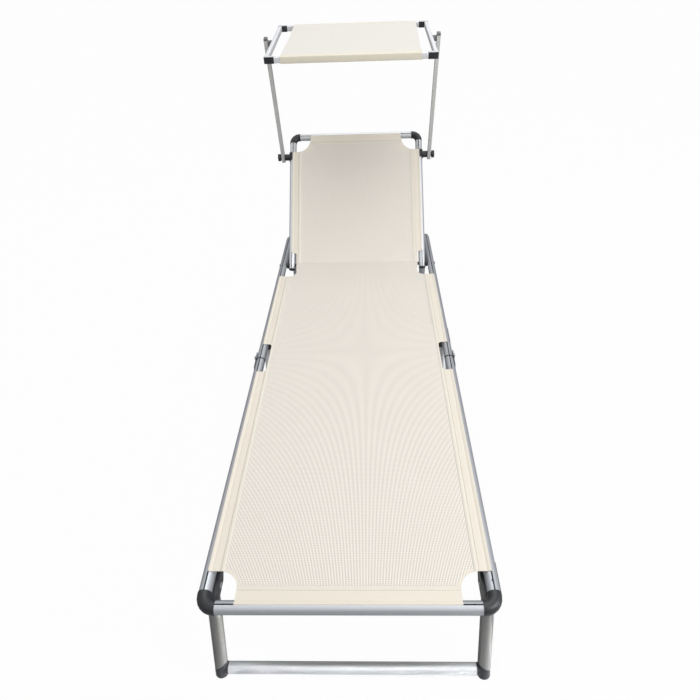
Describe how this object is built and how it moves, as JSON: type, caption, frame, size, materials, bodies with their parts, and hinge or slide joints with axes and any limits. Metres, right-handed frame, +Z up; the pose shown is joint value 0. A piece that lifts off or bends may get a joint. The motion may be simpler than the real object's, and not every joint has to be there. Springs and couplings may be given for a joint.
{
  "type": "sun lounger with canopy",
  "caption": "Folding sun lounger of round tube with a woven sling, reclining backrest on a notched rack and a tilting sunshade canopy on clamped arms.",
  "frame": {"origin": "on the floor, at the centre of the bounding box in plan", "axes": "+Y from the foot end to the head end, +X to the right seen from the foot end, +Z up"},
  "size_m": [0.606, 1.7658, 0.9758],
  "materials": {
    "silver_tube": "satin silver anodised",
    "grey_tube": "satin grey",
    "steel": "zinc plated",
    "black_plastic": "black moulded",
    "dark_plastic": "dark grey moulded",
    "sling_mesh": "cream woven mesh",
    "canopy_cloth": "off-white woven cloth"
  },
  "bodies": {
    "seat_frame": {"seat_rail_left": "silver_tube", "seat_rail_right": "silver_tube", "rear_foot_left": "black_plastic", "rear_foot_right": "black_plastic", "rear_floor_bar": "silver_tube", "seat_sling": "sling_mesh", "seat_hinge_leaf_left": "steel", "seat_hinge_leaf_right": "steel", "prop_rack_left": "black_plastic", "prop_rack_right": "black_plastic", "middle_leg_bracket_left": "black_plastic", "middle_leg_bracket_right": "black_plastic"},
    "foot_section": {"foot_rail_left": "silver_tube", "foot_rail_right": "silver_tube", "foot_elbow_left": "black_plastic", "foot_elbow_right": "black_plastic", "foot_crossbar": "silver_tube", "foot_sling": "sling_mesh", "foot_hinge_leaf_left": "steel", "foot_hinge_leaf_right": "steel", "front_leg_bracket_left": "black_plastic", "front_leg_bracket_right": "black_plastic"},
    "front_leg": {"front_leg_left": "silver_tube", "front_leg_right": "silver_tube", "front_foot_left": "black_plastic", "front_foot_right": "black_plastic", "front_floor_bar": "silver_tube"},
    "middle_leg": {"middle_leg_left": "silver_tube", "middle_leg_right": "silver_tube", "middle_foot_left": "black_plastic", "middle_foot_right": "black_plastic", "middle_floor_bar": "silver_tube"},
    "backrest_pivot": {"back_pivot_left": "black_plastic", "back_pivot_right": "black_plastic"},
    "backrest": {"back_rail_left": "silver_tube", "back_rail_right": "silver_tube", "back_end_cap_left": "black_plastic", "back_end_cap_right": "black_plastic", "head_elbow_left": "black_plastic", "head_elbow_right": "black_plastic", "head_crossbar": "silver_tube", "back_sling": "sling_mesh", "canopy_bracket_left": "black_plastic", "canopy_bracket_right": "black_plastic"},
    "prop": {"back_prop": "steel"},
    "canopy_arms": {"canopy_arm_left": "grey_tube", "canopy_arm_right": "grey_tube", "arm_head_left": "dark_plastic", "arm_head_right": "dark_plastic"},
    "canopy": {"canopy_side_bar_left": "silver_tube", "canopy_side_bar_right": "silver_tube", "canopy_front_bar": "silver_tube", "canopy_back_bar": "silver_tube", "canopy_front_corner_left": "black_plastic", "canopy_front_corner_right": "black_plastic", "canopy_back_corner_left": "black_plastic", "canopy_back_corner_right": "black_plastic", "canopy_cloth": "canopy_cloth"},
    "knob_left": {"lock_knob_left": "black_plastic"},
    "knob_right": {"lock_knob_right": "black_plastic"}
  },
  "joints": [
    {"name": "foot_fold", "type": "hinge", "parent": "seat_frame", "child": "foot_section", "pos_m": [0, -0.11456, 0.256], "axis": [-1, 0, 0], "range_deg": [0, 160]},
    {"name": "front_leg_fold", "type": "hinge", "parent": "foot_section", "child": "front_leg", "pos_m": [0, -0.78856, 0.2133], "axis": [1, 0, 0], "range_deg": [0, 110]},
    {"name": "middle_leg_fold", "type": "hinge", "parent": "seat_frame", "child": "middle_leg", "pos_m": [0, 0.01344, 0.2133], "axis": [1, 0, 0], "range_deg": [0, 110]},
    {"name": "backrest_recline", "type": "hinge", "parent": "seat_frame", "child": "backrest_pivot", "pos_m": [0, 0.45294, 0.243], "axis": [-1, 0, 0], "range_deg": [-32.4, 42.6]},
    {"name": "backrest_fold", "type": "hinge", "parent": "backrest_pivot", "child": "backrest", "pos_m": [0, 0.45294, 0.243], "axis": [-1, 0, 0], "range_deg": [-90, 0], "deforming": ["seat_sling"]},
    {"name": "prop_swing", "type": "hinge", "parent": "backrest", "child": "prop", "pos_m": [0, 0.52287, 0.3073], "axis": [1, 0, 0], "range_deg": [-61, 80]},
    {"name": "canopy_swing", "type": "hinge", "parent": "backrest", "child": "canopy_arms", "pos_m": [0, 0.77682, 0.54083], "axis": [1, 0, 0], "range_deg": [-60, 45]},
    {"name": "canopy_tilt", "type": "hinge", "parent": "canopy_arms", "child": "canopy", "pos_m": [0, 0.68043, 0.94859], "axis": [1, 0, 0], "range_deg": [-45, 45]},
    {"name": "knob_left_turn", "type": "hinge", "parent": "backrest", "child": "knob_left", "pos_m": [-0.296, 0.77682, 0.54083], "axis": [1, 0, 0], "continuous": true},
    {"name": "knob_right_turn", "type": "hinge", "parent": "backrest", "child": "knob_right", "pos_m": [0.296, 0.77682, 0.54083], "axis": [1, 0, 0], "continuous": true}
  ],
  "couplings": [
    {"joint": "prop_swing", "follows": "backrest_recline", "ratio": 1.865}
  ]
}
